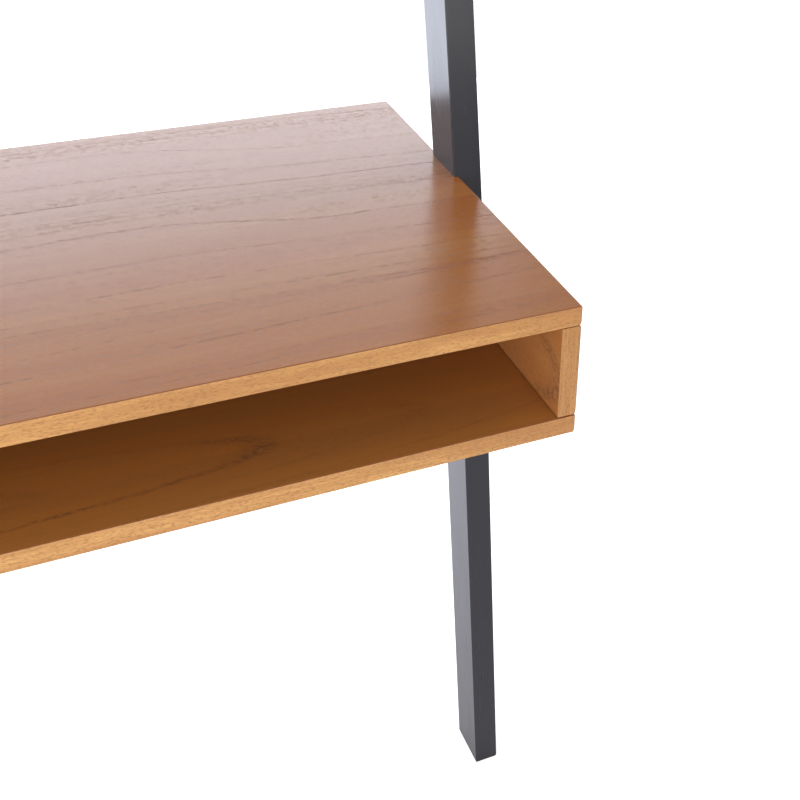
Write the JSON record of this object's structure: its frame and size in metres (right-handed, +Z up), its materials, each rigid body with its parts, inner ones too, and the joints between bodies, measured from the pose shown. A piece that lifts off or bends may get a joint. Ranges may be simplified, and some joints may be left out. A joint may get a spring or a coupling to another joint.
{
  "type": "ladder desk",
  "caption": "Leaning ladder desk: a wooden desktop with an open cubby beneath and shelves above, set between dark painted legs that stand on the floor and lean back on a wall.",
  "frame": {"origin": "on the floor, under the middle of the whole desk's width and depth", "axes": "+X along the desk, -Y the front where the user sits, +Y the wall that the desk leans on, +Z up"},
  "size_m": [0.86, 0.473, 1.829],
  "materials": {
    "veneer": "honey brown long-grain veneer under satin lacquer, eased edges",
    "leg_paint": "hardwood under charcoal satin paint",
    "foot_rubber": "thin black pad, matt",
    "tenon_wood": "plain beech loose tenon, unfinished",
    "strap_steel": "bent steel strip, black powder coat",
    "zinc_steel": "zinc-plated steel"
  },
  "bodies": {
    "root": {"desktop_panel": "veneer", "cubby_floor": "veneer", "cubby_side_left": "veneer", "cubby_side_right": "veneer", "cubby_back": "veneer", "lower_shelf": "veneer", "upper_shelf": "veneer", "lower_leg_left": "leg_paint", "lower_leg_right": "leg_paint", "upper_leg_left": "leg_paint", "upper_leg_right": "leg_paint", "foot_pad_left": "foot_rubber", "foot_pad_right": "foot_rubber", "knee_tenons": "tenon_wood", "panel_tenons": "tenon_wood", "wall_brackets": "strap_steel", "leg_bolts": "zinc_steel", "leg_inserts": "zinc_steel", "shelf_bolts": "zinc_steel", "shelf_barrel_nuts": "zinc_steel", "bracket_screws": "zinc_steel"}
  },
  "joints": []
}
